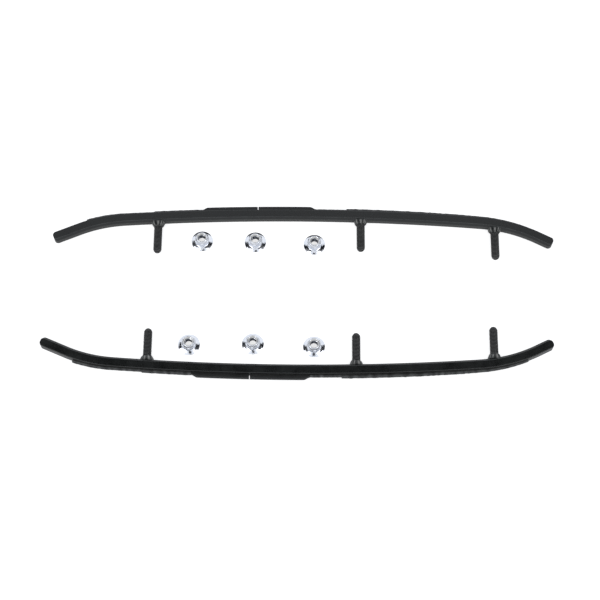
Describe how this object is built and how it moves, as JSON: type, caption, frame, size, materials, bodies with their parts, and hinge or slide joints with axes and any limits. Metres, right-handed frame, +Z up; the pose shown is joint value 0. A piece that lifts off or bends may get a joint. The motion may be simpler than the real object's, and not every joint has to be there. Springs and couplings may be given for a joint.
{
  "type": "snowmobile ski wear bar set",
  "caption": "Bent steel ski wear bars with carbide runners, hardfacing and welded threaded studs, laid flat with their flange lock nuts.",
  "frame": {"origin": "on the bench, midway between the two bars and midway along their length", "axes": "+X from the noses to the tails, +Y from the left bar to the right bar, +Z up from the bench"},
  "size_m": [0.572, 0.2074, 0.0122],
  "materials": {
    "bar_paint": "semi-gloss black paint on steel",
    "stud_steel": "black coated rolled thread",
    "weld_bead": "black paint over a rippled weld fillet",
    "carbide": "black painted ground carbide",
    "hardfacing": "black painted lumpy hardfacing bead",
    "zinc": "bright zinc plate with a blue cast",
    "nylon": "off-white nylon"
  },
  "bodies": {
    "left_bar": {"left_host_bar": "bar_paint", "left_front_stud": "stud_steel", "left_front_weld": "weld_bead", "left_middle_stud": "stud_steel", "left_middle_weld": "weld_bead", "left_rear_stud": "stud_steel", "left_rear_weld": "weld_bead", "left_front_carbide": "carbide", "left_rear_carbide": "carbide", "left_nose_strip": "hardfacing", "left_front_strip": "hardfacing", "left_centre_strip": "hardfacing", "left_middle_strip": "hardfacing", "left_rear_strip": "hardfacing", "left_tail_strip": "hardfacing"},
    "right_bar": {"right_host_bar": "bar_paint", "right_front_stud": "stud_steel", "right_front_weld": "weld_bead", "right_middle_stud": "stud_steel", "right_middle_weld": "weld_bead", "right_rear_stud": "stud_steel", "right_rear_weld": "weld_bead", "right_front_carbide": "carbide", "right_rear_carbide": "carbide", "right_nose_strip": "hardfacing", "right_front_strip": "hardfacing", "right_centre_strip": "hardfacing", "right_middle_strip": "hardfacing", "right_rear_strip": "hardfacing", "right_tail_strip": "hardfacing"},
    "nut_1": {"nut_1_body": "zinc", "nut_1_nylon_ring": "nylon"},
    "nut_2": {"nut_2_body": "zinc", "nut_2_nylon_ring": "nylon"},
    "nut_3": {"nut_3_body": "zinc", "nut_3_nylon_ring": "nylon"},
    "nut_4": {"nut_4_body": "zinc", "nut_4_nylon_ring": "nylon"},
    "nut_5": {"nut_5_body": "zinc", "nut_5_nylon_ring": "nylon"},
    "nut_6": {"nut_6_body": "zinc", "nut_6_nylon_ring": "nylon"}
  },
  "joints": [
    {"name": "right_bar_lift", "type": "slide", "parent": "left_bar", "child": "right_bar", "axis": [0, 0, 1], "range_m": [0, 0.06]},
    {"name": "nut_1_lift", "type": "slide", "parent": "left_bar", "child": "nut_1", "axis": [0, 0, 1], "range_m": [0, 0.04]},
    {"name": "nut_2_lift", "type": "slide", "parent": "left_bar", "child": "nut_2", "axis": [0, 0, 1], "range_m": [0, 0.04]},
    {"name": "nut_3_lift", "type": "slide", "parent": "left_bar", "child": "nut_3", "axis": [0, 0, 1], "range_m": [0, 0.04]},
    {"name": "nut_4_lift", "type": "slide", "parent": "left_bar", "child": "nut_4", "axis": [0, 0, 1], "range_m": [0, 0.04]},
    {"name": "nut_5_lift", "type": "slide", "parent": "left_bar", "child": "nut_5", "axis": [0, 0, 1], "range_m": [0, 0.04]},
    {"name": "nut_6_lift", "type": "slide", "parent": "left_bar", "child": "nut_6", "axis": [0, 0, 1], "range_m": [0, 0.04]}
  ]
}
